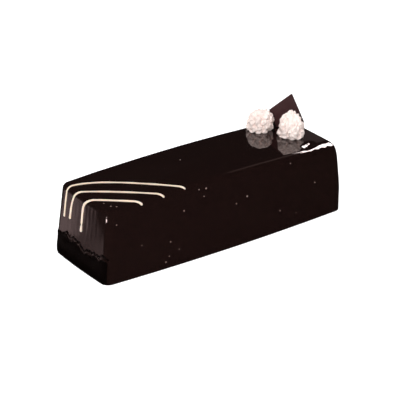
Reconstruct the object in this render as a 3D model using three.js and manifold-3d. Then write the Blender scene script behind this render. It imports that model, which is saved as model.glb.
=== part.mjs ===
// A triple chocolate cake: a long loaf under dark mirror glaze, with lines of white chocolate piped
// over one end, and a pair of whipped-cream rosettes with a dark chocolate plaque at the other.
// Millimetres, +Z up. The origin is under the middle of the loaf, +X runs along its length.
import * as THREE from "three";
import { ParametricGeometry } from "three/addons/geometries/ParametricGeometry.js";
import { mergeVertices } from "three/addons/utils/BufferGeometryUtils.js";
import Module from "manifold-3d";

// The loaf. Its foot is upright, and above the foot its sides lean in.
const LOAF_LENGTH = 275; // length and width at the corners, where the bellies of the sides have run out
const LOAF_WIDTH = 88.3;
const LOAF_HEIGHT = 70.3; // at the edges, where crown and pillow have run out
const CROWN = 4.1; // how much higher the middle of the top is than its ends
const PILLOW = 1.2; // how much higher the middle of the top is than its long edges
const SIDE_BELLY = 4.1; // how far each long side swells out at the base, in the middle of the length
const END_BELLY = 1.4;
const FOOT_HEIGHT = 23;
const PIPED_END_LEAN = 5.5; // how far the end with the lines leans in from the foot to the top
const CREAM_END_LEAN = 3.3;
const CREAM_END_CURVE = 1.5; // power of the height above the foot with which the cream end leans in
const SIDE_LEAN = 2.6;
const CORNER_RADIUS = 6.7; // of the upright corners, seen from above
const TOP_RADIUS = 5.2; // of the rounding between the sides and the top
const BASE_ROUND = 0.4;

// The two front corners of the top are worn: depth is how far a corner is drawn in along each axis, and
// reach the distance from it at which the skin is unworn.
const PIPED_WEAR = { depth: 2.2, reach: 24 };
const CREAM_WEAR = { depth: 1.5, reach: 16 };

// At the front corner of the cream end the top has slumped to two slopes. Each falls from a place (X, Y)
// that lies at a depth under the top, towards a heading; heading and slope are in degrees.
const SLUMPS = [
  { at: [116.5, -33.4], depth: 0, heading: -72.4, slope: 32.6 },
  { at: [116.5, -37.1], depth: 2.25, heading: -78, slope: 54.3 },
];
const SLUMP_BLOCK = 60; // size of the block that is cut away over a slope

// At the piped end the glaze has run down and stopped in a ragged lip on the foot.
const LIP_LEVEL = 24.6;
const LIP_DEPTH = 0.9;
const LIP_BAND = 2.4; // height over which the step is made
const LIP_WAVES = [
  { rise: 2.0, pace: 9.6, shift: -0.3 },
  { rise: 1.0, pace: 4.1, shift: 0.4 },
  { rise: 0.7, pace: 2.3, shift: 1.9 },
];

// White chocolate lines, piped from the front edge across the top and down the left end.
// downAt is where the line runs down the end (Y), bendAt how far from the end edge it turns,
// slant its slope on the top, softness how gently it turns, frontRest how far inside the front edge
// it begins, seen from above, and tipAt the height at which it stops.
const LINES = [
  { radius: 1.0, downAt: 30.4, bendAt: 15.0, slant: 1.02, softness: 10.2, frontRest: 0.9, tipAt: 40.4 },
  { radius: 1.05, downAt: 20.6, bendAt: -4.2, slant: 0.95, softness: 6.5, frontRest: 0.4, tipAt: 41.9 },
  { radius: 1.2, downAt: 0.4, bendAt: -6.6, slant: 0.96, softness: 2.1, frontRest: 0.4, tipAt: 36.9 },
];

// Rosettes: a bulging dome, narrower where it meets the glaze, piped in rings of upright lumps that are
// staggered from ring to ring. Angles are in radians, up from the bulge. lean is how far the top is off the
// middle of the foot, tuck the angle under the bulge at which the foot is reached, and point above 1 makes
// a peak, below 1 a blunt top.
const ROSETTE_GAP = 0.3; // between cream and glaze, and between cream and plaque
const LUMP_RINGS = [
  { angle: -0.26, count: 13 },
  { angle: 0.14, count: 13 },
  { angle: 0.5, count: 11 },
  { angle: 0.86, count: 8 },
  { angle: 1.2, count: 5 },
  { angle: Math.PI / 2, count: 1 },
];
const LUMP_SIZE = 0.25; // half the width of a lump, as an angle
const LUMP_TALL = 1.2; // its height as a multiple of its width
const LUMP_DEPTH = 0.25; // as a share of the radius
const LUMP_LEVEL = 0.65; // share of a lump's height at which the plain dome runs
const LUMP_UNEVEN = 0.17; // how far a lump strays from its even place
const LUMP_STRAY = { around: 5.1, angle: 3.7, size: 2.3 }; // how fast the straying changes from lump to lump
const ROSETTES = [
  {
    name: "cream_rosette_back",
    at: [89.3, 27.4],
    lean: [1.8, -1.3],
    radius: 12.6,
    height: 19.0,
    bulgeAt: 4.5,
    tuck: 0.35,
    point: 0.52,
    turn: 0.3,
  },
  {
    name: "cream_rosette_front",
    at: [105.6, -2.2],
    lean: [0.4, -0.3],
    radius: 12.6,
    height: 25.0,
    bulgeAt: 3.4,
    tuck: 0.35,
    point: 1.25,
    turn: 1.7,
  },
];

// The plaque: a rhombus that stands behind both rosettes, pressed against them, one corner up.
const PLAQUE_SIDE = 31.5;
const PLAQUE_THICKNESS = 1.8;
const PLAQUE_APEX = THREE.MathUtils.degToRad(74.3);
const PLAQUE_LEAN = THREE.MathUtils.degToRad(26.4); // of its front edge, from upright
const PLAQUE_BEHIND = 12.5; // from the line through the rosettes' centres to its face
const PLAQUE_APEX_ALONG = 11.1; // from midway between the rosettes, towards the front one
const PLAQUE_APEX_RISE = 37.6; // above the glaze

// Fineness of the surfaces.
const CORNER_STEPS = 7;
const LONG_STEPS = 22;
const SHORT_STEPS = 18;
const ROUNDING_STEPS = 5;
const TOP_STEPS = 4;
const LINE_STEPS = 36;
const LINE_SIDES = 8;
const ROSETTE_COLUMNS = 68;
const ROSETTE_ROWS = 21;

const PIPED_TOP_EDGE = LOAF_LENGTH / 2 - PIPED_END_LEAN;
const CREAM_TOP_EDGE = LOAF_LENGTH / 2 - CREAM_END_LEAN;
const TOP_HALF_WIDTH = LOAF_WIDTH / 2 - SIDE_LEAN;
const ROUNDING_START = LOAF_HEIGHT - TOP_RADIUS;

const wasm = await Module();
wasm.setup();

function solidOf(geometry) {
  const bare = geometry.clone();
  bare.deleteAttribute("normal");
  bare.deleteAttribute("uv");
  const merged = mergeVertices(bare);
  const vertProperties = new Float32Array(merged.getAttribute("position").array);
  const triVerts = new Uint32Array(merged.index.array);
  return new wasm.Manifold(new wasm.Mesh({ numProp: 3, vertProperties, triVerts }));
}

function geometryOf(solid) {
  const mesh = solid.getMesh();
  const geometry = new THREE.BufferGeometry();
  geometry.setAttribute("position", new THREE.BufferAttribute(mesh.vertProperties, 3));
  geometry.setIndex(new THREE.BufferAttribute(mesh.triVerts, 1));
  geometry.computeVertexNormals();
  return geometry;
}

// The crown lifts a point in step with its height, so that the base stays flat.
function crownLift(x, height) {
  const along = (2 * x) / LOAF_LENGTH;
  return (CROWN * (1 - along ** 2) * height) / LOAF_HEIGHT;
}

// The pillow lifts the top across its width and runs out towards the ends.
function pillowLift(x, y) {
  const along = (2 * x) / LOAF_LENGTH;
  const across = THREE.MathUtils.clamp(y / TOP_HALF_WIDTH, -1, 1);
  return PILLOW * (1 - across ** 2) * (1 - along ** 4);
}

// Height of the glaze under a decoration that stands at a place on the top.
function topHeight(x, y) {
  return LOAF_HEIGHT + crownLift(x, LOAF_HEIGHT) + pillowLift(x, y);
}

// How far a worn corner draws a point in, along each axis alike: a square law of the distance from it.
function cornerWear(x, y, height) {
  const { depth, reach } = x < 0 ? PIPED_WEAR : CREAM_WEAR;
  const cornerX = x < 0 ? -PIPED_TOP_EDGE : CREAM_TOP_EDGE;
  const away = Math.hypot(x - cornerX, y + TOP_HALF_WIDTH, height - LOAF_HEIGHT);
  return depth * Math.max(1 - away / reach, 0) ** 2;
}

// What the slump takes away: a block that lies on the slope.
function slumpCut({ at, depth, heading, slope }) {
  const block = new THREE.BoxGeometry(SLUMP_BLOCK, SLUMP_BLOCK, SLUMP_BLOCK);
  block.translate(0, 0, SLUMP_BLOCK / 2);
  block.rotateY(THREE.MathUtils.degToRad(slope));
  block.rotateZ(THREE.MathUtils.degToRad(heading));
  block.translate(...at, topHeight(...SLUMPS[0].at) - depth);
  return solidOf(block);
}

// How far a side swells out: most at the base, and in the middle of its length, where share is 0.
function bellyOut(belly, share, height) {
  return belly * (1 - height / LOAF_HEIGHT) * (1 - Math.min(share ** 2, 1));
}

// 0 on the foot and 1 where the top edge starts to round.
function leanShare(height) {
  return THREE.MathUtils.clamp((height - FOOT_HEIGHT) / (ROUNDING_START - FOOT_HEIGHT), 0, 1);
}

// How far the cream end leans in: like a power of the height above the foot, up to the top.
function creamInset(height) {
  const share = THREE.MathUtils.clamp((height - FOOT_HEIGHT) / (LOAF_HEIGHT - FOOT_HEIGHT), 0, 1);
  return CREAM_END_LEAN * share ** CREAM_END_CURVE;
}

// The loaf's outline seen from above, once round: each station is a corner's centre or a point
// between two of them, as shares of the half sizes, and the direction in which the skin faces there.
function outlineStations() {
  const corners = [
    [1, 1],
    [-1, 1],
    [-1, -1],
    [1, -1],
  ];
  const stations = [];
  corners.forEach(([cx, cy], k) => {
    for (let i = 0; i <= CORNER_STEPS; i += 1) {
      const angle = ((k + i / CORNER_STEPS) * Math.PI) / 2;
      stations.push({ cx, cy, nx: Math.cos(angle), ny: Math.sin(angle) });
    }
    const [nextX, nextY] = corners[(k + 1) % corners.length];
    const steps = k % 2 === 0 ? LONG_STEPS : SHORT_STEPS;
    const facing = ((k + 1) * Math.PI) / 2;
    for (let i = 1; i < steps; i += 1) {
      const t = i / steps;
      stations.push({
        cx: THREE.MathUtils.lerp(cx, nextX, t),
        cy: THREE.MathUtils.lerp(cy, nextY, t),
        nx: Math.cos(facing),
        ny: Math.sin(facing),
      });
    }
  });
  return stations;
}

// From the middle of the base, out over the foot, up the side, round the edge and in to the middle of
// the top. inset draws the outline in, step is 1 above the lip, flat is the share of the pillow that a
// row has, and shrink closes a row towards the middle.
function loafRows() {
  const rows = [
    { z: 0, inset: BASE_ROUND, shrink: 0 },
    { z: 0, inset: BASE_ROUND },
    { z: BASE_ROUND, inset: 0 },
    { z: LIP_LEVEL - LIP_BAND / 2, inset: 0, ragged: 1 },
    { z: LIP_LEVEL + LIP_BAND / 2, inset: 0, ragged: 1, step: 1 },
    { z: (LIP_LEVEL + ROUNDING_START) / 2, inset: 0, step: 1 },
  ];
  for (let i = 0; i <= ROUNDING_STEPS; i += 1) {
    const turn = ((i / ROUNDING_STEPS) * Math.PI) / 2;
    rows.push({
      z: ROUNDING_START + TOP_RADIUS * Math.sin(turn),
      inset: TOP_RADIUS * (1 - Math.cos(turn)),
      step: 1,
      flat: THREE.MathUtils.smoothstep(i, 0, ROUNDING_STEPS),
    });
  }
  for (let i = TOP_STEPS - 1; i >= 0; i -= 1) {
    rows.push({ z: LOAF_HEIGHT, inset: TOP_RADIUS, step: 1, flat: 1, shrink: i / TOP_STEPS });
  }
  return rows;
}

// How far the lip wanders up and down across the piped end.
function lipWander(station) {
  const y = (station.cy * LOAF_WIDTH) / 2;
  const wander = LIP_WAVES.reduce((sum, w) => sum + w.rise * Math.sin(y / w.pace + w.shift), 0);
  return wander * Math.max(-station.nx, 0) ** 2;
}

function loafPoint(row, station, target) {
  const { inset, ragged = 0, step = 0, flat = 0, shrink = 1 } = row;
  const z = row.z + ragged * lipWander(station);
  const leaning = leanShare(z);
  const pipedInset = step * LIP_DEPTH + (PIPED_END_LEAN - LIP_DEPTH) * leaning;
  const endInset = station.cx < 0 ? pipedInset : creamInset(z);
  const corner = CORNER_RADIUS - inset;
  const halfLength = LOAF_LENGTH / 2 - inset - endInset - corner;
  const halfWidth = LOAF_WIDTH / 2 - inset - SIDE_LEAN * leaning - corner;
  const plainX = station.cx * halfLength + station.nx * corner;
  const plainY = station.cy * halfWidth + station.ny * corner;
  const endBelly = bellyOut(END_BELLY, (2 * plainY) / LOAF_WIDTH, z);
  const sideBelly = bellyOut(SIDE_BELLY, (2 * plainX) / LOAF_LENGTH, z);
  const x = (plainX + station.cx * endBelly) * shrink;
  const y = (plainY + station.cy * sideBelly) * shrink;
  const wear = cornerWear(x, y, z);
  const lift = crownLift(x, z) + flat * pillowLift(x, y);
  target.set(x - Math.sign(x) * wear, y + wear, z + lift - wear);
}

function loafGeometry() {
  const stations = outlineStations();
  const rows = loafRows();
  const columns = stations.length;
  const bands = rows.length - 1;
  return new ParametricGeometry(
    (u, v, target) => {
      const station = stations[Math.round(u * columns) % columns];
      loafPoint(rows[Math.round(v * bands)], station, target);
    },
    columns,
    bands,
  );
}

// A point of the skin at distance run from the piped end's edge: on the top where run is large,
// round the edge where it is small, and down the end where it is negative.
function skinPoint(run, y) {
  if (run < -TOP_RADIUS) {
    const z = LOAF_HEIGHT + run;
    const inset = LIP_DEPTH + (PIPED_END_LEAN - LIP_DEPTH) * leanShare(z);
    const x = inset - LOAF_LENGTH / 2 - bellyOut(END_BELLY, (2 * y) / LOAF_WIDTH, z);
    return new THREE.Vector3(x, y, z + crownLift(x, z));
  }
  const level = Math.min((TOP_RADIUS + run) / (2 * TOP_RADIUS), 1);
  const turn = ((1 - level) * Math.PI) / 2;
  const over = Math.max(run - TOP_RADIUS, 0);
  const belly = bellyOut(END_BELLY, (2 * y) / LOAF_WIDTH, ROUNDING_START + TOP_RADIUS * Math.cos(turn));
  const x = TOP_RADIUS * (1 - Math.sin(turn)) + over - PIPED_TOP_EDGE - belly;
  const fromFront = TOP_HALF_WIDTH + y;
  const short = Math.max(TOP_RADIUS - fromFront, 0);
  const drop = TOP_RADIUS - Math.sqrt(TOP_RADIUS * TOP_RADIUS - short * short);
  const z = ROUNDING_START + TOP_RADIUS * Math.cos(turn) - drop;
  const flat = THREE.MathUtils.smoothstep(level, 0, 1);
  return new THREE.Vector3(x, y, z + crownLift(x, z) + flat * pillowLift(x, y));
}

// Where a white chocolate line is across the loaf: slanted on the top, it turns softly to run straight down.
function lineAcross({ downAt, bendAt, slant, softness }, run) {
  const reach = (slant * (run - bendAt)) / softness;
  return downAt - softness * Math.log1p(Math.exp(reach));
}

function linePath(line) {
  const last = line.tipAt - LOAF_HEIGHT;
  const frontY = line.frontRest - TOP_HALF_WIDTH;
  const away = (line.downAt - frontY) / line.softness;
  const first = line.bendAt + (line.softness * Math.log(Math.expm1(away))) / line.slant;
  const points = [];
  for (let i = 0; i <= LINE_STEPS; i += 1) {
    const run = THREE.MathUtils.lerp(first, last, i / LINE_STEPS);
    points.push(skinPoint(run, lineAcross(line, run)));
  }
  return new THREE.CatmullRomCurve3(points);
}

// A round bead along the path with round ends. Its lower half lies in the loaf.
function lineSolid(line) {
  const path = linePath(line);
  const section = new THREE.Shape().absarc(0, 0, line.radius, 0, 2 * Math.PI);
  const bead = new THREE.ExtrudeGeometry(section, {
    extrudePath: path,
    steps: LINE_STEPS,
    curveSegments: LINE_SIDES,
    bevelEnabled: false,
  });
  const ends = [path.getPoint(0), path.getPoint(1)].map((end) => {
    const ball = new THREE.SphereGeometry(line.radius, LINE_SIDES, LINE_SIDES - 2);
    return solidOf(ball.translate(end.x, end.y, end.z));
  });
  return ends.reduce((sum, end) => sum.add(end), solidOf(bead));
}

// The plaque stands along the line from the back rosette to the front one.
const backAt = new THREE.Vector3(...ROSETTES[0].at, 0);
const frontAt = new THREE.Vector3(...ROSETTES[1].at, 0);
const plaqueAlong = frontAt.clone().sub(backAt).normalize();
const plaqueFacing = new THREE.Vector3(-plaqueAlong.y, plaqueAlong.x, 0);
const midway = backAt.clone().add(frontAt).multiplyScalar(0.5);

function rowAngle(row, tuck) {
  return THREE.MathUtils.lerp(-tuck, Math.PI / 2, row / ROSETTE_ROWS);
}

// Shape of a rosette before its lumps: its radius and height at an angle that runs from
// below the bulge, through 0 at the bulge, to a right angle at the peak.
function rosetteProfile(rosette) {
  const { radius, height, bulgeAt, tuck, point } = rosette;
  const profile = [new THREE.Vector2(0, 0)];
  for (let i = 0; i < ROSETTE_ROWS; i += 1) {
    const angle = rowAngle(i, tuck);
    const below = bulgeAt * (1 + Math.sin(angle) / Math.sin(tuck));
    const above = bulgeAt + (height - bulgeAt) * Math.sin(angle);
    profile.push(new THREE.Vector2(radius * Math.cos(angle) ** point, angle < 0 ? below : above));
  }
  profile.push(new THREE.Vector2(0, height));
  return profile;
}

// Places of a rosette's lumps, ring by ring, each a little off its even place and size.
function rosetteLumps(turn) {
  const lumps = [];
  LUMP_RINGS.forEach(({ angle, count }, ring) => {
    for (let i = 0; i < count; i += 1) {
      const order = lumps.length + turn;
      const stray = (rate) => LUMP_UNEVEN * Math.sin(rate * order);
      lumps.push({
        around: turn + (2 * Math.PI * (i + ring / 2)) / count + stray(LUMP_STRAY.around),
        angle: angle + stray(LUMP_STRAY.angle) * Math.cos(angle),
        size: LUMP_SIZE * (1 + stray(LUMP_STRAY.size)),
      });
    }
  });
  return lumps;
}

// Height of the highest lump over a place on the dome, from 0 in a furrow to 1 on a lump's top.
function lumpHeight(lumps, around, angle) {
  return lumps.reduce((highest, lump) => {
    const turned = Math.atan2(Math.sin(around - lump.around), Math.cos(around - lump.around));
    const across = turned * Math.cos((angle + lump.angle) / 2);
    const away = Math.hypot(across, (angle - lump.angle) / LUMP_TALL) / lump.size;
    return Math.max(highest, Math.sqrt(Math.max(1 - away * away, 0)));
  }, 0);
}

// A lathe's vertices come column by column. Each is moved out or in by the lumps, and cream that
// would reach the plaque is pressed flat against it.
function rosetteGeometry(rosette) {
  const profile = rosetteProfile(rosette);
  const geometry = new THREE.LatheGeometry(profile, ROSETTE_COLUMNS);
  geometry.rotateX(Math.PI / 2);
  const lumps = rosetteLumps(rosette.turn);
  const position = geometry.getAttribute("position");
  const centre = new THREE.Vector3(...rosette.at, 0);
  const point = new THREE.Vector3();
  for (let i = 0; i < position.count; i += 1) {
    point.fromBufferAttribute(position, i);
    const angle = rowAngle(Math.max((i % profile.length) - 1, 0), rosette.tuck);
    const lump = lumpHeight(lumps, Math.atan2(point.y, point.x), angle);
    const scale = 1 + LUMP_DEPTH * (lump - LUMP_LEVEL);
    const above = Math.max(point.z - rosette.bulgeAt, 0);
    point.set(point.x * scale, point.y * scale, point.z + above * (scale - 1));
    const leaning = point.z / rosette.height;
    point.add(new THREE.Vector3(...rosette.lean, 0).multiplyScalar(leaning));
    const room = PLAQUE_BEHIND - ROSETTE_GAP - point.dot(plaqueFacing);
    point.addScaledVector(plaqueFacing, Math.min(room, 0)).add(centre);
    position.setXYZ(i, point.x, point.y, point.z + topHeight(point.x, point.y) + ROSETTE_GAP);
  }
  geometry.computeVertexNormals();
  return geometry;
}

// How much higher the glaze is at a place along the plaque than midway between the rosettes.
function glazeRise(along) {
  const place = midway.clone().addScaledVector(plaqueFacing, PLAQUE_BEHIND);
  place.addScaledVector(plaqueAlong, along);
  return topHeight(place.x, place.y) - topHeight(midway.x, midway.y);
}

// Outline of the plaque in its own plane, along and up. Its lowest corner is cut off at the glaze.
function plaqueOutline() {
  const slope = PLAQUE_APEX - PLAQUE_LEAN;
  const frontEdge = new THREE.Vector2(Math.sin(PLAQUE_LEAN), -Math.cos(PLAQUE_LEAN));
  const backEdge = new THREE.Vector2(-Math.sin(slope), -Math.cos(slope));
  const apex = new THREE.Vector2(PLAQUE_APEX_ALONG, PLAQUE_APEX_RISE);
  const frontCorner = apex.clone().addScaledVector(frontEdge, PLAQUE_SIDE);
  const backCorner = apex.clone().addScaledVector(backEdge, PLAQUE_SIDE);
  const meetGlaze = (corner, edge) => {
    const fall = glazeRise(corner.x) - corner.y;
    return corner.clone().addScaledVector(edge, fall / edge.y);
  };
  const frontFoot = meetGlaze(frontCorner, backEdge);
  const backFoot = meetGlaze(backCorner, frontEdge);
  return [apex, backCorner, backFoot, frontFoot, frontCorner];
}

function plaqueMesh(material) {
  const shape = new THREE.Shape(plaqueOutline());
  const geometry = new THREE.ExtrudeGeometry(shape, { depth: PLAQUE_THICKNESS, bevelEnabled: false });
  const mesh = new THREE.Mesh(geometry, material);
  mesh.name = "chocolate_plaque";
  const up = new THREE.Vector3(0, 0, 1);
  const away = new THREE.Vector3().crossVectors(plaqueAlong, up);
  mesh.quaternion.setFromRotationMatrix(new THREE.Matrix4().makeBasis(plaqueAlong, up, away));
  mesh.position.copy(midway).addScaledVector(plaqueFacing, PLAQUE_BEHIND + PLAQUE_THICKNESS);
  mesh.position.z = topHeight(midway.x, midway.y) + ROSETTE_GAP;
  return mesh;
}

const glaze = new THREE.MeshStandardMaterial({ color: 0x1b110f, roughness: 0.12, metalness: 0 });
const cream = new THREE.MeshStandardMaterial({ color: 0xf5e8e0, roughness: 0.6, metalness: 0 });
const chocolate = new THREE.MeshStandardMaterial({ color: 0x452c2c, roughness: 0.5, metalness: 0 });

const cake = new THREE.Group();

const slumped = SLUMPS.reduce((loaf, slump) => loaf.subtract(slumpCut(slump)), solidOf(loafGeometry()));
const piped = LINES.reduce((loaf, line) => loaf.add(lineSolid(line)), slumped);
const body = new THREE.Mesh(geometryOf(piped), glaze);
body.name = "cake_body";
cake.add(body);

for (const rosette of ROSETTES) {
  const mesh = new THREE.Mesh(rosetteGeometry(rosette), cream.clone());
  mesh.name = rosette.name;
  cake.add(mesh);
}

cake.add(plaqueMesh(chocolate));

export default cake;
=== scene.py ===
# %% [markdown]
# # A triple chocolate cake
# A long loaf of chocolate cake stands under dark mirror glaze. Three lines of white chocolate are piped
# over its left end, and two rosettes of whipped cream with a chocolate plaque stand at its right end.
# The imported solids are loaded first. They are the frame: every piece below is made in the same place
# and in the same axes, so nothing has to be fitted by eye.

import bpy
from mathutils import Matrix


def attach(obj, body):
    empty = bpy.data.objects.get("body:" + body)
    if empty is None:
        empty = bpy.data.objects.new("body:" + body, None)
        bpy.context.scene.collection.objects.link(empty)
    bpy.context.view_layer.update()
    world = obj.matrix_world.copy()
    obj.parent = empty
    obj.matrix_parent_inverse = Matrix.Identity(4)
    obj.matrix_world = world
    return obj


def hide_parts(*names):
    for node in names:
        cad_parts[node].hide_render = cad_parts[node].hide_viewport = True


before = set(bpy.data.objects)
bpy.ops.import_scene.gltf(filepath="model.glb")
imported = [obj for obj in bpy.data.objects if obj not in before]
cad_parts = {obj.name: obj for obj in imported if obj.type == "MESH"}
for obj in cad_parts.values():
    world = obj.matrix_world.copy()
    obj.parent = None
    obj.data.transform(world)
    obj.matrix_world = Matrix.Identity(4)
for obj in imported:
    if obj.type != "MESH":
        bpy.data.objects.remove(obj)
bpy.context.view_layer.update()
print("solids:", ", ".join(sorted(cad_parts)))

# %% [markdown]
# ## Millimetres, colours and nodes
# A cook measures in millimetres and Blender in metres, so sizes are written in millimetres and turned
# only where something is made. Colours are written as the sRGB hex values that a paint program shows,
# and one function makes them linear. One more function adds a shader node with its settings and its
# links. The last four make what nearly every material here has: a cloudy pattern, a blend of two
# colours, a bump and the surface itself.

import bpy
import numpy as np
from mathutils import Quaternion, Vector

MM = 0.001


def linear(hex_colour):
    """sRGB hex to linear RGBA: a channel c becomes c / 12.92 when dark, and ((c + 0.055) / 1.055) ^ 2.4
    otherwise."""
    c = np.array([int(hex_colour[i : i + 2], 16) for i in (0, 2, 4)]) / 255
    return (*np.where(c <= 0.04045, c / 12.92, ((c + 0.055) / 1.055) ** 2.4), 1.0)


def add_node(material, kind, inputs, **settings):
    """Adds a node to a material. settings are the node's own; inputs gives each socket a value or
    another's output."""
    node = material.node_tree.nodes.new(kind)
    for name, value in settings.items():
        setattr(node, name, value)
    for socket, value in inputs.items():
        if isinstance(value, bpy.types.NodeSocket):
            material.node_tree.links.new(value, node.inputs[socket])
        else:
            node.inputs[socket].default_value = value
    return node


def new_material(name):
    """An empty material and the Object coordinates, in metres, that all its patterns are drawn on."""
    material = bpy.data.materials.new(name)
    material.use_nodes = True
    material.node_tree.nodes.clear()
    return material, add_node(material, "ShaderNodeTexCoord", {}).outputs["Object"]


def noise(material, place, size, detail):
    """A cloudy pattern from 0 to 1 on Object coordinates, which are in metres. Its features are size mm
    wide, and detail is how many finer layers lie over them."""
    inputs = {"Vector": place, "Scale": 1 / (size * MM), "Detail": detail}
    return add_node(material, "ShaderNodeTexNoise", inputs).outputs[0]


def blend(material, share, first, second):
    """A colour that goes from first to second as share goes from 0 to 1. A mix node keeps its colours
    in sockets 6 and 7 and its result in output 2."""
    inputs = {0: share, 6: first, 7: second}
    return add_node(material, "ShaderNodeMix", inputs, data_type="RGBA").outputs[2]


def bump(material, height, strength, deep):
    """The way a surface faces when a pattern from 0 to 1 stands deep mm out of it, weakened to
    strength."""
    inputs = {"Height": height, "Strength": strength, "Distance": deep * MM}
    return add_node(material, "ShaderNodeBump", inputs).outputs[0]


def cover(material, inputs):
    """Ends a material: one surface with these inputs, linked to the output."""
    skin = add_node(material, "ShaderNodeBsdfPrincipled", inputs).outputs[0]
    add_node(material, "ShaderNodeOutputMaterial", {"Surface": skin})


print("linear cream:", np.round(linear("f8e6df"), 3))

# %% [markdown]
# ## A closed skin
# Every piece of this cake is a skin without holes: a loaf, a bead, a rosette, a thin plaque. Each can
# be written as rows of points, from a first pole over rings to a last pole. So one function turns such
# grids into a mesh, and the rest of the lesson is about the formulas that give the points.

# %% Mesh from grids of points
def skin_faces(rows, columns):
    """Corners of the faces between the rings, and of the fans that close both poles. Point 0 is the
    first pole, then come the rings one after another, and the last point is the other pole."""
    ring = np.arange(columns)
    after = np.roll(ring, -1)
    start = 1 + columns * np.arange(rows - 1)[:, None]
    sides = np.stack([start + ring, start + after, start + columns + after, start + columns + ring], -1)
    first = np.stack([np.zeros_like(ring), 1 + after, 1 + ring], -1)
    last = 1 + (rows - 1) * columns
    end = np.stack([last + ring, last + after, np.full_like(ring, last + columns)], -1)
    return sides.reshape(-1, 4), np.concatenate([first, end])


def make_skins(name, first, rings, last, **shades):
    """One mesh object of one or more skins: first poles (skins x 3), rings of points (skins x rows x
    columns x 3) and last poles, in mm. The rings run anticlockwise seen from the last pole, so that
    faces point outwards. shades are values kept on the rings' points for the material."""
    skins, rows, columns = rings.shape[:3]
    points = np.concatenate([first[:, None], rings.reshape(skins, -1, 3), last[:, None]], 1) * MM
    shift = points.shape[1] * np.arange(skins)[:, None, None]
    quads, fans = ((faces + shift).reshape(-1, faces.shape[1]) for faces in skin_faces(rows, columns))
    mesh = bpy.data.meshes.new(name)
    mesh.from_pydata(points.reshape(-1, 3), [], quads.tolist() + fans.tolist())
    mesh.polygons.foreach_set("use_smooth", np.ones(len(mesh.polygons), bool))
    for shade, values in shades.items():
        edged = np.concatenate([values[0, :1], values.ravel(), values[-1, :1]])
        mesh.attributes.new(shade, "FLOAT", "POINT").data.foreach_set("value", edged.astype(np.float32))
    piece = bpy.data.objects.new(name, mesh)
    bpy.context.scene.collection.objects.link(piece)
    return piece


def make_skin(name, first, rings, last, **shades):
    """A single skin from a pole, its rings and a pole."""
    return make_skins(name, np.array([first]), rings[None], np.array([last]), **shades)


def put_in_frame(piece, material, node):
    """Gives a piece its material and its place in the frame: it rides on the one body and stands for a
    solid."""
    piece.data.materials.append(material)
    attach(piece, "root")
    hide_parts(node)
    corners = np.empty(len(piece.data.polygons), np.int32)
    piece.data.polygons.foreach_get("loop_total", corners)
    print(f"{piece.name}: {(corners - 2).sum()} triangles, {material.name}, for {node}")


# %% [markdown]
# Two shapes come back in many formulas: a soft step, for one surface that runs over into another, and
# ripples, for everything that is uneven.

# %% Soft step and ripples
def ease(t):
    """Soft step: 0 below 0, 1 above 1, and t^2 (3 - 2 t) between."""
    t = np.clip(t, 0, 1)
    return t * t * (3 - 2 * t)


def ripples(points, size, seed, waves=18):
    """Smooth unevenness, usually between -1 and 1: many sine waves are added, each in a direction and a
    phase of its own drawn from the seed, with their crests size mm apart. size may differ along X, Y
    and Z."""
    draw = np.random.default_rng(seed)
    ways = draw.normal(size=(waves, 3))
    ways /= np.linalg.norm(ways, axis=1, keepdims=True)
    phases = draw.uniform(0, 2 * np.pi, waves)
    return np.sin((points / size) @ ways.T * 2 * np.pi + phases).sum(-1) / np.sqrt(waves)


# %% [markdown]
# ## The form of the loaf
# A loaf of this kind is made in a tin and turned out. Its foot is upright, its sides lean in, its
# corners and top edges are round, and its sides belly out at the base. The top is crowned along its
# length and a little pillowed across. Both front corners are worn soft, and at the one of the cream end
# the glaze has slumped to a flat slope with a steeper one below it. At the piped end it gathered in a
# thick, ragged band on the foot, which flares out.

# %% Sizes of the loaf, in millimetres
LENGTH = 275.0
WIDTH, HEIGHT = 88.3, 70.3
CROWN, PILLOW = 4.1, 1.2
SIDE_BELLY, END_BELLY = 4.1, 1.4
# How far a front corner is worn, and how far round it
PIPED_WEAR, PIPED_REACH = 2.2, 24.0
CREAM_WEAR, CREAM_REACH = 1.5, 16.0
SLUMP_AT, SLUMP_EDGE = 116.5, 0.35  # X where the slopes are given, and softness of their edges
SLUMP_WAVER, SLUMP_PACE = 0.2, 1.5  # as a share of the depth, and along X
SLUMPS = [  # Y and depth at SLUMP_AT, heading and slope in degrees
    (-33.4, 0.0, -72.4, 32.6),
    (-37.1, 2.25, -78.0, 54.3),
]
FOOT = 23.0
PIPED_LEAN, CREAM_LEAN, SIDE_LEAN = 5.5, 3.3, 2.6
CREAM_CURVE = 1.5
CORNER_RADIUS, TOP_RADIUS, BASE_ROUND = 6.7, 5.2, 0.4
LIP_DEPTH = 0.9
FLARE, FLARE_TOP, FLARE_FADE = 1.8, 20.0, 13.0
ROLL_SHARE, ROLL_HEIGHT = 0.45, 4.0  # share of the flare at the very base, and height where it is whole
ROUNDING_START = HEIGHT - TOP_RADIUS
TOP_HALF_WIDTH = WIDTH / 2 - SIDE_LEAN
loaf_size = (LENGTH + 2 * END_BELLY, WIDTH + 2 * SIDE_BELLY, HEIGHT + CROWN + PILLOW)
print("loaf:", " x ".join(f"{size:.1f}" for size in loaf_size), "mm")


# %% Formulas that the loaf shares with what lies on it
def lean_share(z):
    """0 on the foot and 1 where the top edge starts to round."""
    return np.clip((z - FOOT) / (ROUNDING_START - FOOT), 0, 1)


def cream_lean(z):
    """The cream end leans in more and more: with a power of the height above the foot."""
    return CREAM_LEAN * np.clip((z - FOOT) / (HEIGHT - FOOT), 0, 1) ** CREAM_CURVE


def crown_lift(x, z):
    """The crown: a parabola along the loaf, in step with the height so that the base stays flat."""
    return CROWN * (1 - (2 * x / LENGTH) ** 2) * z / HEIGHT


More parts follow.
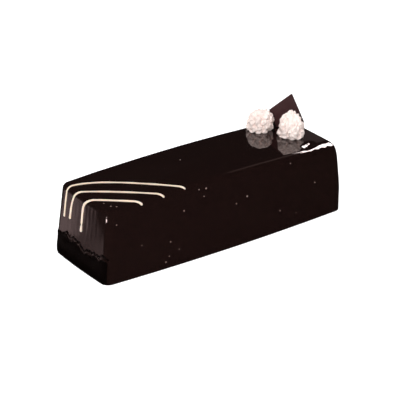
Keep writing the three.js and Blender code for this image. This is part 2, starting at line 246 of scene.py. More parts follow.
def pillow_lift(x, y):
    """A parabola across the top, which runs out towards the ends with the fourth power."""
    return PILLOW * (1 - np.clip(y / TOP_HALF_WIDTH, -1, 1) ** 2) * (1 - (2 * x / LENGTH) ** 4)


def belly_out(belly, share, z):
    """How far a side swells out: evenly less with the height, and a parabola along it, where share is
    -1 to 1."""
    return belly * (1 - z / HEIGHT) * (1 - np.minimum(share**2, 1))


def corner_wear(x, y, z):
    """How far the front corners are drawn in, along X, Y and Z: a square law of the distance from the
    corner."""
    piped_corner = (-1, PIPED_LEAN, PIPED_WEAR, PIPED_REACH)
    cream_corner = (1, CREAM_LEAN, CREAM_WEAR, CREAM_REACH)
    at_corner = np.where(x[..., None] < 0, piped_corner, cream_corner)
    side, lean, wear, reach = np.moveaxis(at_corner, -1, 0)
    away = np.sqrt((x - side * (LENGTH / 2 - lean)) ** 2 + (y + TOP_HALF_WIDTH) ** 2 + (z - HEIGHT) ** 2)
    amount = wear * np.clip(1 - away / reach, 0, None) ** 2
    return np.stack([-side * amount, amount, -amount], -1)


def foot_flare(z):
    """How far the gathered glaze on the piped foot stands out: soft steps from its base, where it rolls
    in, to its top."""
    rolled = ROLL_SHARE + (1 - ROLL_SHARE) * ease(z / ROLL_HEIGHT)
    return FLARE * ease((FLARE_TOP - z) / FLARE_FADE) * rolled


def top_height(x, y):
    """Height of the glaze under what stands on it."""
    return HEIGHT + crown_lift(x, HEIGHT) + pillow_lift(x, y)


def slump_drop(points):
    """How far the slumped corner lies below the plain form: what would stand above a slope, with a
    steeper one below it that wavers, is let down to them with a soft edge, s log(1 + exp(height above /
    s))."""
    x, y, z = np.moveaxis(points, -1, 0)
    slopes = []
    for at_y, depth, heading, slope in SLUMPS:
        way = np.radians(heading)
        fall = (x - SLUMP_AT) * np.cos(way) + (y - at_y) * np.sin(way)
        waver = SLUMP_WAVER * depth * np.sin(x / SLUMP_PACE)
        level = top_height(SLUMP_AT, SLUMPS[0][0]) - depth - waver
        slopes.append(level - np.tan(np.radians(slope)) * fall)
    return SLUMP_EDGE * np.logaddexp(0, (z - np.min(slopes, 0)) / SLUMP_EDGE)


# %% [markdown]
# The outline from above is four arcs joined by four runs. The piped end is drawn with close columns and
# its lower part with close rows, because it carries the crags of the glaze. The outer part of the top
# has close rows too, because a run of glaze has stopped there.

# %% Outline and rows of the loaf
CORNER_STEPS = 12
SIDE_STEPS = (190, 170, 190, 30)  # back, piped end, front, cream end
CLOSE_HEIGHT, CLOSE_SHARE = 31.0, 0.46  # rows are close up to this height, and on the top in to this share
SIDE_ROWS, EDGE_ROWS, TOP_ROWS = (56, 22), 14, (42, 10)
BASE_SHARES = (0.5, 0.96, 1)  # of the outline, at the rings of the base


def loaf_outline():
    """Once round, anticlockwise from the back right: the corner's centre as shares of the half sizes,
    and the direction in which the skin faces."""
    corners = np.array([(1, 1), (-1, 1), (-1, -1), (1, -1)], float)
    stations = []
    for k, (corner, steps) in enumerate(zip(corners, SIDE_STEPS)):
        facing = (k + np.linspace(0, 1, CORNER_STEPS)) * np.pi / 2
        arc = np.broadcast_to(corner, (CORNER_STEPS, 2))
        stations.append(np.column_stack([arc, np.cos(facing), np.sin(facing)]))
        share = np.linspace(0, 1, steps + 2)[1:-1, None]
        straight = corner * (1 - share) + corners[(k + 1) % 4] * share
        ahead = (k + 1) * np.pi / 2
        normal = np.broadcast_to([np.cos(ahead), np.sin(ahead)], (steps, 2))
        stations.append(np.column_stack([straight, normal]))
    return np.concatenate(stations).T


def loaf_rows():
    """From the base over the foot, up the side, round the edge and in over the top: height, inset of
    the outline, share left of it where it closes, and the angle of the skin above the horizontal."""
    close_side = np.linspace(BASE_ROUND, CLOSE_HEIGHT, SIDE_ROWS[0], endpoint=False)
    wide_side = np.linspace(CLOSE_HEIGHT, ROUNDING_START, SIDE_ROWS[1], endpoint=False)
    side = np.concatenate([close_side, wide_side])
    turn = np.linspace(0, np.pi / 2, EDGE_ROWS)
    close_top = np.linspace(1, CLOSE_SHARE, TOP_ROWS[0])[1:]
    wide_top = np.linspace(CLOSE_SHARE, 0, TOP_ROWS[1])[1:-1]
    inward = np.concatenate([close_top, wide_top])
    base = [(0, BASE_ROUND, share, -np.pi / 2) for share in BASE_SHARES]
    up = np.column_stack([side, 0 * side, 0 * side + 1, 0 * side])
    edge = np.column_stack(
        [ROUNDING_START + TOP_RADIUS * np.sin(turn), TOP_RADIUS * (1 - np.cos(turn)), 0 * turn + 1, turn]
    )
    top = np.column_stack([0 * inward + HEIGHT, 0 * inward + TOP_RADIUS, inward, 0 * inward + np.pi / 2])
    return np.concatenate([base, up, edge, top]).T[..., None]


print("loaf grid:", loaf_rows().shape[1], "rows by", loaf_outline().shape[1], "columns")

# %% [markdown]
# The glaze is never quite even. It swells and dips by less than a tenth of a millimetre over the whole
# cake. On the piped end it has run down in short, broken streaks. It stopped there in two ragged tiers
# with a narrow ledge between them, craggy at their edges, and below them the gathered band is lumpy.
# Near the front right corner a run of glaze stopped just short of the edge and left a shallow trough.
# All of this is relief in the mesh: each point is moved along the way its skin faces.

# %% Relief of the glaze
# Rise, pace and shift of each wave of the lip
LIP_WAVES = [(2.0, 9.6, -0.3), (1.0, 4.1, 0.4), (0.7, 2.3, 1.9), (0.5, 1.1, 0.8)]
LIP_LEVEL, LIP_BANDS = 24.8, (3.7, 1.3)  # height of the lip, and of the soft step at each tier
LEDGE, LEDGE_WAVER, LEDGE_PACE, LEDGE_SHIFT = 3.3, 0.9, 3.05, 2.0
LEDGE_STOPS, LEDGE_FADE = 36.0, 10.0  # Y where the ledge is gone, and the distance over which it goes
UNDERCUT_SHADE_UNEVEN = 0.5
RUN_FACING = 0.96  # the satin of the run-down glaze starts where the skin faces the end this much
# How far each kind of relief stands out, how wide its features are and, for two, where it has faded in
SWELL, SWELL_SIZE, SWELL_RISE = 0.06, 34.0, 8.0
STREAK, STREAK_SIZE = 0.035, (8.0, 5.0, 22.0)
LUMP, LUMP_SIZE, LUMP_RISE = 0.14, 11.0, 4.0
CRAG, CRAG_SIZE = 0.28, 4.6
TROUGH_DROP, TROUGH_WIDTH, TROUGH_RISE = 2.2, 5.2, 9.0  # depth, and width of its step down and up again
TROUGH_EDGE = [(90, -29.6), (103, -24.9), (118, -20.5)]  # X and Y
TROUGH_STARTS, TROUGH_STOPS = (95, 4), (110, 5)  # X, and the distance over which the trough fades


def lip_height(y):
    """Height of the band's ragged upper edge across the end: a level and some sine waves."""
    return LIP_LEVEL + sum(rise * np.sin(y / pace + shift) for rise, pace, shift in LIP_WAVES)


def trough_drop(x, y):
    """How far the glaze drops in front of the run's edge, which goes from point to point: a soft step
    down and a slower one up again, both fading at the ends of the edge."""
    past = np.interp(x, *np.transpose(TROUGH_EDGE)) - y
    trough = ease(past / TROUGH_WIDTH) * (1 - ease((past - TROUGH_WIDTH) / TROUGH_RISE))
    begun, ended = (ease((x - at) / fade) for at, fade in (TROUGH_STARTS, TROUGH_STOPS))
    return TROUGH_DROP * trough * begun * (1 - ended)


def glaze_relief(points, end, tiers, turn):
    """Distance in mm by which the glaze stands out: swells everywhere, the trough where the skin has
    turned up to the top, and on the piped end streaks above the tiers, crags near their edges and lumps
    in the band below. The base stays flat, and swells and lumps fade in above it."""
    upper, lower = tiers
    craggy = 4 * (upper * (1 - upper) + lower * (1 - lower))
    lumps = (1 - lower) * ease(points[..., 2] / LUMP_RISE) * LUMP * ripples(points, LUMP_SIZE, seed=3)
    crags = craggy * CRAG * (1 - 2 * np.abs(ripples(points, CRAG_SIZE, seed=5)))
    streaks = upper * STREAK * ripples(points, STREAK_SIZE, seed=11)
    trough = trough_drop(points[..., 0], points[..., 1]) * ease(4 * turn / np.pi - 1)
    swells = SWELL * ripples(points, SWELL_SIZE, seed=2) * ease(points[..., 2] / SWELL_RISE)
    return swells - trough + np.cos(turn) * end * (streaks + lumps + crags)


# %% [markdown]
# All these formulas meet in one grid of points, a row for each height and a column for each place round
# the loaf. Modelling tools could bevel and bend a box instead, but here the lines, the bubbles and the
# rosettes can ask the same formulas where the glaze is.

# %% Points of the loaf
def loaf_points():
    """Each row's outline is drawn in by the lean of the sides and by the steps above the band, swelled
    by the bellies and the flare, moved by the relief and lifted by the crown and the pillow. Returns
    the points, how much of the crust of the gathered band and of the painted shade in the undercut is
    at each, and how much of the run-down end."""
    z, inset, share, turn = loaf_rows()
    cx, cy, nx, ny = loaf_outline()
    end = np.clip(-nx, 0, 1) ** 2
    across = cy * WIDTH / 2
    lip = FOOT + (lip_height(across) - FOOT) * end
    ledge = LEDGE + LEDGE_WAVER * np.sin(across / LEDGE_PACE + LEDGE_SHIFT)
    edges = (lip, lip - ledge * ease((LEDGE_STOPS - across) / LEDGE_FADE))
    tiers = np.stack([ease((z - edge) / wide + 0.5) for edge, wide in zip(edges, LIP_BANDS)])
    lean = lean_share(z)
    corner = CORNER_RADIUS - inset
    piped_inset = tiers.mean(0) * LIP_DEPTH + (PIPED_LEAN - LIP_DEPTH) * lean - foot_flare(z) * end
    x = cx * (LENGTH / 2 - inset - np.where(cx < 0, piped_inset, cream_lean(z)) - corner) + nx * corner
    y = cy * (WIDTH / 2 - inset - SIDE_LEAN * lean - corner) + ny * corner
    end_belly = cx * belly_out(END_BELLY, 2 * y / WIDTH, z)
    side_belly = cy * belly_out(SIDE_BELLY, 2 * x / LENGTH, z)
    points = np.stack([(x + end_belly) * share, (y + side_belly) * share, z + 0 * x], -1)
    facing = np.stack([nx * np.cos(turn), ny * np.cos(turn), np.sin(turn) + 0 * nx], -1)
    points = points + facing * (glaze_relief(points, end, tiers, turn) * (turn >= 0))[..., None]
    flat_top = ease(2 * turn / np.pi)
    x, y, z = np.moveaxis(points, -1, 0)
    lift = crown_lift(x, z) + pillow_lift(x, y) * flat_top
    points = points + corner_wear(x, y, z)
    points[..., 2] += lift
    points[..., 2] -= slump_drop(points)
    # The undercut above the ledge gets the dark crust colour: painted shade along the step.
    uneven = 1 + UNDERCUT_SHADE_UNEVEN * ripples(points, CRAG_SIZE, seed=6)
    undercut_shade = 4 * tiers[0] * (1 - tiers[0]) * uneven
    run_down = tiers[1] * ease((-nx - RUN_FACING) / (1 - RUN_FACING))
    return points, np.maximum(1 - tiers[1], undercut_shade) * end, run_down


glaze_rings, crust_and_shade_share, run_share = loaf_points()
loaf = make_skin(
    "glazed_loaf", (0, 0, 0), glaze_rings, glaze_rings[-1].mean(0), gathered=crust_and_shade_share, run_down=run_share
)
print("highest glaze:", round(float(glaze_rings[..., 2].max()), 2), "mm")

# %% [markdown]
# ## Dark chocolate mirror glaze
# Mirror glaze is chocolate and cocoa set in a syrup with gelatine. It is poured warm and sets like
# glass, so what the eye gets is an almost black brown under a clear reflection. Colour and gloss hardly
# vary, apart from a faint mottling of a few millimetres. Where it ran down the end it has a satin skin.
# The gathered band is coloured darkest of all, and so is the undercut above its ledge, as painted shade.

# %% Glaze material
GLOSS, SATIN, GLOSS_VARIES = 0.04, 0.17, 0.02  # roughness of poured and of run-down glaze, and its grain
glaze, place = new_material("dark_chocolate_mirror_glaze")
mottle = noise(glaze, place, size=7, detail=4.0)
gathered = add_node(glaze, "ShaderNodeAttribute", {}, attribute_name="gathered").outputs["Fac"]
run_down = add_node(glaze, "ShaderNodeAttribute", {}, attribute_name="run_down").outputs["Fac"]
smooth_tone = blend(glaze, mottle, linear("140b0a"), linear("190e0c"))
# Painted shade: this share also darkens the undercut above the ledge, besides the gathered band.
tone = blend(glaze, gathered, smooth_tone, linear("070302"))
dulled = add_node(
    glaze, "ShaderNodeMapRange", {"Value": run_down, "To Min": GLOSS, "To Max": SATIN}
).outputs[0]
grain = noise(glaze, place, size=1.6, detail=2.0)
rough = add_node(
    glaze, "ShaderNodeMath", {0: grain, 1: GLOSS_VARIES, 2: dulled}, operation="MULTIPLY_ADD"
).outputs[0]
cover(
    glaze, {"Base Color": tone, "Roughness": rough, "IOR": 1.55, "Specular Tint": linear("ffe2de")}
)
put_in_frame(loaf, glaze, "cake_body")

# %% [markdown]
# The band on the foot is glaze that dripped, cooled and set as a dull crust. The broken undercut above
# the ledge gets the same dark, dull material as painted shade. Neither mirrors much, so both look black.
# They are part of the same skin, so their faces only get a second material.

# %% Crust material, also painted shade in the undercut
# The crust material also paints shade on the undercut above the ledge.
IN_CRUST_AND_SHADE = 0.5  # how much of the crust a point has to have
crust_and_shade_paint, place = new_material("set_glaze_crust_and_painted_shade")
pitting = noise(crust_and_shade_paint, place, size=2.5, detail=4.0)
tone = blend(crust_and_shade_paint, pitting, linear("030101"), linear("0a0504"))
pits = bump(crust_and_shade_paint, pitting, strength=0.4, deep=0.4)
cover(crust_and_shade_paint, {"Base Color": tone, "Roughness": 0.35, "Specular IOR Level": 0.06, "Normal": pits})
loaf.data.materials.append(crust_and_shade_paint)
# The faces between the rings come first in the mesh, one for each point below the last ring
in_crust_and_shade = np.zeros(len(loaf.data.polygons), np.int32)
in_crust_and_shade[: crust_and_shade_share[1:].size] = (crust_and_shade_share[:-1] > IN_CRUST_AND_SHADE).ravel()
loaf.data.polygons.foreach_set("material_index", in_crust_and_shade)
print("faces in the band:", in_crust_and_shade.sum())

# %% [markdown]
# ## White chocolate lines
# The lines are piped with a fine nozzle, starting on the front edge, slanting over the top and running
# down the left end, where they stop in small drops. A line is a profile carried along a path. The path
# is found by unrolling the skin: run is the distance from the end's top edge, positive on the top and
# negative down the end.

# %% Sizes of the lines, in millimetres
LINE_RISE = 0.85  # how high a line stands on the glaze, as a share of its half width
WAVERS = [(0.07, 3.7), (0.05, 9.3)]  # share of the half width, and pace
DROP_SWELL, DROP_AT, DROP_REACH = 0.18, 2.0, 1.6  # the drop at a line's tip, and its distance from the tip
NECK_AT, NECK_REACH = 7.4, 1.1
# Half width, place down the end, place of the bend, slant, softness, rest from the front edge, tip and neck
LINES = [
    (1.0, 30.4, 15.0, 1.02, 10.2, 0.9, 40.4, 0.0),
    (1.05, 20.6, -4.2, 0.95, 6.5, 0.4, 41.9, 0.0),
    (1.2, 0.4, -6.6, 0.96, 2.1, 0.4, 36.9, 0.5),
]


# %% Path of a line on the skin
def skin_point(run, y):
    """Point of the glaze at distance run from the end's top edge, and the way it faces. Down the end
    the skin leans, round the edge it is a quarter circle, and on the top it falls away to the front
    edge in another."""
    down = np.minimum(run + TOP_RADIUS, 0)
    turn = np.clip((TOP_RADIUS - run) / TOP_RADIUS, 0, 2) * np.pi / 4
    z_end = ROUNDING_START + down
    x_end = LIP_DEPTH + (PIPED_LEAN - LIP_DEPTH) * lean_share(z_end) - LENGTH / 2
    x_top = TOP_RADIUS * (1 - np.sin(turn)) + np.maximum(run - TOP_RADIUS, 0) + PIPED_LEAN - LENGTH / 2
    short = np.clip((TOP_RADIUS - TOP_HALF_WIDTH - y) / TOP_RADIUS, 0, 1)
    drop = TOP_RADIUS * (1 - np.sqrt(1 - short**2))
    z_top = ROUNDING_START + TOP_RADIUS * np.cos(turn) - drop
    z = np.where(down < 0, z_end, z_top)
    belly = belly_out(END_BELLY, 2 * y / WIDTH, np.where(down < 0, z, z + drop))
    x = np.where(down < 0, x_end, x_top) - belly
    lift = crown_lift(x, z) + pillow_lift(x, y) * ease(1 - 2 * turn / np.pi)
    facing = np.stack([-np.sin(turn), -short * np.cos(turn), np.sqrt(1 - short**2) * np.cos(turn)], -1)
    return np.stack([x, y, z + lift], -1), facing / np.linalg.norm(facing, axis=-1, keepdims=True)


def line_path(down_at, bend_at, slant, softness, rest, tip_at, steps=260):
    """Where a line runs: y = down_at - softness log(1 + exp(slant (run - bend_at) / softness)), so
    straight down the end and slanted on the top with a soft bend between."""
    away = (down_at - rest + TOP_HALF_WIDTH) / softness
    first = bend_at + softness * np.log(np.expm1(away)) / slant
    run = np.linspace(first, tip_at - HEIGHT, steps)
    y = down_at - softness * np.log1p(np.exp(slant * (run - bend_at) / softness))
    return skin_point(run, y)


# %% [markdown]
# Along this path goes the bead itself. No hand pipes quite evenly, so its width wavers, and at the
# lower tip the chocolate ran together in a drop before it set.

# %% Bead along the path
def line_piece(name, radius, path, facing, neck, seed, sides=16):
    """An oval carried along the path. Its half width wavers with the piping hand, swells to a drop at
    the lower tip after a neck, and closes at both tips as a half circle does: sqrt(1 - t^2)."""
    step = np.linalg.norm(np.diff(path, axis=0), axis=1)
    along = np.concatenate([[0], np.cumsum(step)])
    left = along[-1] - along
    shift = np.random.default_rng(seed).uniform(0, 2 * np.pi, 2)
    waver = sum(share * np.sin(along / pace + by) for (share, pace), by in zip(WAVERS, shift))
    drop = DROP_SWELL * np.exp(-(((left - DROP_AT) / DROP_REACH) ** 2))
    drop = drop - neck * np.exp(-(((left - NECK_AT) / NECK_REACH) ** 2))
    blunt = np.clip(np.minimum(along, left) / radius, 0, 1)
    half = (radius * (1 + waver + drop) * np.sqrt(1 - (1 - blunt) ** 2))[:, None, None]
    tangent = np.gradient(path, axis=0)
    tangent /= np.linalg.norm(tangent, axis=1, keepdims=True)
    across = np.cross(facing, tangent)
    angle = np.linspace(0, 2 * np.pi, sides, endpoint=False)[:, None]
    oval = np.cos(angle) * across[:, None] + np.sin(angle) * LINE_RISE * facing[:, None]
    rings = (path[:, None] + half * oval)[1:-1]
    return make_skin(name, path[0], rings, path[-1])


# %% [markdown]
# White chocolate is cocoa butter, sugar and milk powder. It sets to a satin ivory, slightly see-through
# at its edges, so a little light scatters under its surface. The colour wavers faintly where the butter
# has bloomed.

# %% White chocolate material and the three lines
ivory, place = new_material("piped_white_chocolate")
bloom = noise(ivory, place, size=5, detail=3.0)
tone = blend(ivory, bloom, linear("e3ceb6"), linear("e6d3c2"))
cover(
    ivory,
    {
        "Base Color": tone,
        "Roughness": 0.38,
        "IOR": 1.46,
        "Subsurface Weight": 0.15,
        "Subsurface Scale": 1.2 * MM,
    },
)
for number, (radius, *route, neck) in enumerate(LINES, 1):
    line = line_piece(f"white_chocolate_line_{number}", radius, *line_path(*route), neck, seed=40 + number)
    put_in_frame(line, ivory, "cake_body")

# %% [markdown]
# ## Bubbles
# A few air bubbles rose in the glaze while it set, and stand on it as tiny domes, painted pale as a
# highlight. There are too few of them for a pattern, so each has its place: on the front by distance
# along and height, on the top by distance along and across. All of them are one mesh.

# %% Places of the bubbles, in millimetres
FRONT_BUBBLES = [
    (-33, 68), (-25, 67), (-28, 60), (-51, 52), (21, 47), (8, 43), (103, 39), (74, 66),
    (79, 14), (59, 22), (-124, 58), (-99, 31), (-59, 16), (-70, 12), (-74, 7), (-68, 26),
]
TOP_BUBBLES = [(-124, -21.4), (-122, -30), (-118.5, -34), (-19, 8.6)]
BUBBLE_RADIUS, BUBBLE_RISE, BUBBLE_SINK = 0.75, 0.5, 0.2
BUBBLE_SPREAD = (0.6, 1.25)  # smallest and largest, as shares of the radius


def bubble_piece(name, sides=8, levels=4):
    """A dome of cosines and sines for every place, closed below the glaze and turned to the way the
    glaze faces."""
    x, z = np.array(FRONT_BUBBLES, float).T
    plain = z / (1 + crown_lift(x, 1.0))
    y = -(WIDTH / 2 - SIDE_LEAN * lean_share(plain) + belly_out(SIDE_BELLY, 2 * x / LENGTH, plain))
    on_front = np.column_stack([x, y, z])
    x, y = np.array(TOP_BUBBLES, float).T
    on_top = np.column_stack([x, y, top_height(x, y)])
    centres = np.concatenate([on_front, on_top])
    facing = np.repeat([[0, -1.0, 0], [0, 0, 1.0]], [len(on_front), len(on_top)], axis=0)
    side = np.broadcast_to([1.0, 0, 0], facing.shape)
    third = np.cross(facing, side)
    spread = np.random.default_rng(8).uniform(*BUBBLE_SPREAD, len(centres))
    size = BUBBLE_RADIUS * spread[:, None, None, None]
    up = np.linspace(0, np.pi / 2, levels, endpoint=False)[:, None, None]
    around = np.linspace(0, 2 * np.pi, sides, endpoint=False)[:, None]
    side, third, out = (v[:, None, None] for v in (side, third, facing))
    dome = np.cos(up) * (np.cos(around) * side + np.sin(around) * third) + BUBBLE_RISE * np.sin(up) * out
    rings = centres[:, None, None] + size * dome
    tips = centres + size[:, 0, 0] * BUBBLE_RISE * facing
    return make_skins(name, centres - BUBBLE_SINK * facing, rings, tips)


# %% [markdown]
# The bubbles are coloured a pale grey, far paler than the glaze below them. This is a painted highlight
# for the tiny glints that each dome would catch, and they are just as glossy as the glaze.

# %% Bubble material, a painted glint
glint_paint, place = new_material("glaze_bubble_painted_glint")
tint = noise(glint_paint, place, size=20, detail=1.0)
# Painted highlight: these pale tones stand in for the glints that the lamps make on the domes.
tone = blend(glint_paint, tint, linear("6a544c"), linear("94807a"))
cover(glint_paint, {"Base Color": tone, "Roughness": 0.2, "IOR": 1.5})
put_in_frame(bubble_piece("glaze_bubbles"), glint_paint, "cake_body")

# %% [markdown]
# ## Cream rosettes
# A rosette is whipped cream pressed through a star nozzle. It bulges over its foot, and the ribs of the
# nozzle have broken into upright lumps that lie in staggered rings, with a rough grain on them. It
# could be sculpted, but a formula can start from the solid's own form: a dome given by an angle up from
# its bulge, and the highest lump at each place.

# %% Sizes of the rosettes
ROSETTE_GAP = 0.3  # from a rosette to the plaque, and from the plaque to the glaze below it
# Angle up the dome and count of the lumps in each ring
LUMP_RINGS = [(-0.26, 13), (0.14, 13), (0.5, 11), (0.86, 8), (1.2, 5), (np.pi / 2, 1)]
CREAM_LUMP, CREAM_TALL = 0.25, 1.2  # half width of a lump as an angle, and its half height as a share of it
CREAM_DEPTH, CREAM_LEVEL = 0.25, 0.65  # depth of the furrows, and the lump height that keeps the radius
CREAM_UNEVEN = 0.17
STRAY_AROUND, STRAY_UP, STRAY_SIZE = 5.1, 3.7, 2.3  # how fast the straying changes from lump to lump
# Place, lean of the peak, radius, height, height of the bulge, tuck of the foot, pointedness and turn
ROSETTES = {
    "cream_rosette_back": ((89.3, 27.4), (1.8, -1.3), 12.6, 19.0, 4.5, 0.35, 0.52, 0.3),
    "cream_rosette_front": ((105.6, -2.2), (0.4, -0.3), 12.6, 25.0, 3.4, 0.35, 1.25, 1.7),
}
PLAQUE_BEHIND = 12.5  # from the line through both rosettes to the plaque
back_at, front_at = (np.array([*sizes[0], 0.0]) for sizes in ROSETTES.values())
plaque_along = (front_at - back_at) / np.linalg.norm(front_at - back_at)
plaque_facing = np.array([-plaque_along[1], plaque_along[0], 0.0])
print("rosettes are", round(float(np.linalg.norm(front_at - back_at)), 1), "mm apart")


# %% Lumps of a rosette
def rosette_lumps(turn):
    """Place round the dome, angle up it and size of each lump, ring by ring, each a little off its even
    place."""
    ring_of = np.repeat(np.arange(len(LUMP_RINGS)), [count for _, count in LUMP_RINGS])
    angle, count = np.array(LUMP_RINGS)[ring_of].T
    nth = np.concatenate([np.arange(n) for _, n in LUMP_RINGS])
    order = np.arange(len(nth)) + turn
    around = turn + 2 * np.pi * (nth + ring_of / 2) / count + CREAM_UNEVEN * np.sin(STRAY_AROUND * order)
    up = angle + CREAM_UNEVEN * np.sin(STRAY_UP * order) * np.cos(angle)
    return around, up, CREAM_LUMP * (1 + CREAM_UNEVEN * np.sin(STRAY_SIZE * order))


def lump_height(around, angle, lumps):
    """Height of the highest lump over each place, from 0 in a furrow to 1: sqrt(1 - (distance /
    size)^2)."""
    highest = np.zeros(np.broadcast(around, angle).shape)
    for lump_around, lump_angle, size in zip(*lumps):
        turned = np.angle(np.exp(1j * (around - lump_around)))
        across = turned * np.cos((angle + lump_angle) / 2)
        away = np.hypot(across, (angle - lump_angle) / CREAM_TALL) / size
        highest = np.maximum(highest, np.sqrt(np.clip(1 - away**2, 0, None)))
    return highest


# %% [markdown]
# The rings of lumps alone would look like a raspberry. Piped cream is torn as it leaves the nozzle, so
# the lumps are warped out of their even places, and frills and small curds roughen them.

# %% Points of a rosette
WARP, WARP_SIZE = 0.09, 9.0  # how far the lumps stray, as an angle, and over which distance that changes
RUFFLE, RUFFLE_SIZE = 0.5, (5.2, 5.2, 8.0)
CURD, CURD_SIZE = 0.06, 1.9
ROUGH_RISE = 2.0  # height over which ruffles and curds fade in above the foot


def rosette_piece(name, at, lean, radius, height, bulge_at, tuck, point, turn, columns=300, rows=150):
    """Radius and height follow the angle: radius cos(angle)^point, and a sine up to the bulge and from
    it to the peak. The lumps, warped out of their even places, scale this, finer ruffles and curds
    roughen it, it leans in step with its height, and the plaque presses it flat behind."""
    angle = np.linspace(-tuck, np.pi / 2, rows + 1)[:-1, None]
    around = np.linspace(0, 2 * np.pi, columns, endpoint=False)
    below = bulge_at * (1 + np.sin(angle) / np.sin(tuck))
    above = bulge_at + (height - bulge_at) * np.sin(angle)
    dome = np.where(angle < 0, below, above)
    level, up = np.cos(angle), np.sin(angle)
    facing = np.stack([level * np.cos(around), level * np.sin(around), up + 0 * around], -1)
    astray = facing * radius + turn
    warped_around = around + WARP * ripples(astray, WARP_SIZE, seed=23)
    warped_angle = angle + WARP * ripples(astray, WARP_SIZE, seed=24)
    lumps = lump_height(warped_around, warped_angle, rosette_lumps(turn))
    scale = 1 + CREAM_DEPTH * (lumps - CREAM_LEVEL)
    z = dome + np.maximum(dome - bulge_at, 0) * (scale - 1)
    out = radius * np.cos(angle) ** point * scale
    points = np.stack([out * np.cos(around), out * np.sin(around), z], -1)
    frills = 1 - 2 * np.abs(ripples(points, RUFFLE_SIZE, seed=31, waves=10))
    rough = RUFFLE * frills + CURD * ripples(points, CURD_SIZE, seed=22)
    points = points + facing * (rough * ease(points[..., 2] / ROUGH_RISE))[..., None]
    points[..., :2] += points[..., 2:] / height * lean
    room = PLAQUE_BEHIND - ROSETTE_GAP - points @ plaque_facing
    points = points + np.minimum(room, 0)[..., None] * plaque_facing
    points[..., :2] += at
    points[..., 2] += top_height(points[..., 0], points[..., 1])
    return make_skin(name, (*at, top_height(*at)), points, points[-1].mean(0))


# %% [markdown]
# Whipped cream is a foam of air and fat. It throws back almost all the light, and each furrow lights
# the next one, so they stay light and warm, and its surface has no gloss to speak of. A pale base
# colour gives this without any scattering below the surface. The grain is a fine bump, because single
# bubbles are too small for the mesh.

# %% Cream material and the two rosettes
cream, place = new_material("piped_whipped_cream")
cloud = noise(cream, place, size=6, detail=4.0)
tone = blend(cream, cloud, linear("f8e6df"), linear("fbebe5"))
foam = noise(cream, place, size=0.9, detail=3.0)
grain = bump(cream, foam, strength=0.15, deep=0.3)
cover(cream, {"Base Color": tone, "Roughness": 0.62, "IOR": 1.4, "Normal": grain})
for name, sizes in ROSETTES.items():
    put_in_frame(rosette_piece(f"{name}_piped", *sizes), cream, name)

# %% [markdown]
# ## The chocolate plaque
# A plaque is cut from chocolate that was spread thin on a sheet. It is a rhombus on one corner,
# leaning, pushed into the glaze behind the rosettes, so its lowest corner is cut off there. The skin
# starts in the middle of one face, goes out over the bevelled rim and ends in the middle of the other
# face.

# %% Sizes of the plaque
PLAQUE_SIDE, PLAQUE_THICKNESS = 31.5, 1.8
PLAQUE_APEX, PLAQUE_LEAN = np.radians(74.3), np.radians(26.4)
PLAQUE_APEX_ALONG, PLAQUE_APEX_RISE = 11.1, 37.6
PLAQUE_BEVEL = 0.3
PLAQUE_BOW, PLAQUE_BOW_SIZE = 0.12, 30.0
RIM_ROWS, FACE_ROWS = 9, 24
FACE_SHARES = (0.06, 0.98)  # of the outline, at the first and the last ring of a face
midway = (back_at + front_at) / 2
midway[2] = top_height(midway[0], midway[1])


# %% Points of the plaque
def plaque_outline():
    """Corners along and up from midway between the rosettes: two sides fall from the apex, two more run
    in from their ends until they meet the glaze."""
    slope = PLAQUE_APEX - PLAQUE_LEAN
    front_edge = np.array([np.sin(PLAQUE_LEAN), -np.cos(PLAQUE_LEAN)])
    back_edge = np.array([-np.sin(slope), -np.cos(slope)])
    apex = np.array([PLAQUE_APEX_ALONG, PLAQUE_APEX_RISE])

    def meet_glaze(corner, edge):
        x, y, _ = midway + corner[0] * plaque_along + PLAQUE_BEHIND * plaque_facing
        rise = top_height(x, y) - midway[2] - corner[1]
        return corner + edge * rise / edge[1]

    front, back = apex + PLAQUE_SIDE * front_edge, apex + PLAQUE_SIDE * back_edge
    return np.array([apex, back, meet_glaze(back, front_edge), meet_glaze(front, back_edge), front])


def plaque_piece(name, steps=40):
    """The outline, drawn in towards its middle on both faces and by the bevel at the rim, and bowed a
    little."""
    corners = plaque_outline()
    share = np.linspace(0, 1, steps, endpoint=False)[:, None]
    rim = np.concatenate([a * (1 - share) + b * share for a, b in zip(corners, np.roll(corners, -1, 0))])
    middle = corners.mean(0)
    reach = np.linalg.norm(rim - middle, axis=1)
    edge = np.linspace(0, np.pi, RIM_ROWS)
    inward = np.linspace(*FACE_SHARES, FACE_ROWS)
    inset = np.concatenate([0 * inward, PLAQUE_BEVEL * (1 - np.sin(edge)), 0 * inward])
    left = np.concatenate([inward, 0 * edge + 1, inward[::-1]])
    half = PLAQUE_THICKNESS / 2
    round_off = PLAQUE_BEVEL * (1 - np.abs(np.cos(edge)))
    rim_out = np.sign(np.cos(edge).round(6)) * (half - round_off)
    out = np.concatenate([0 * inward + half, rim_out, 0 * inward - half])
    flat = middle + (rim - middle) * (left[:, None] - inset[:, None] / reach)[..., None]
    bow = PLAQUE_BOW * ripples(np.concatenate([flat, 0 * flat[..., :1]], -1), PLAQUE_BOW_SIZE, seed=31)
    depth = PLAQUE_BEHIND + half - out[:, None] - bow
    base = midway + np.array([0, 0, ROSETTE_GAP])
    up = np.array([0, 0, 1.0])
    rings = base + flat[..., :1] * plaque_along + flat[..., 1:] * up + depth[..., None] * plaque_facing
    return make_skin(name, rings[0].mean(0), rings, rings[-1].mean(0))


# %% [markdown]
# Dark chocolate that set on a sheet has a satin face with a fine speckle of sugar and cocoa. The
# speckle is about half a millimetre wide; it is drawn at a millimetre so that it shows.

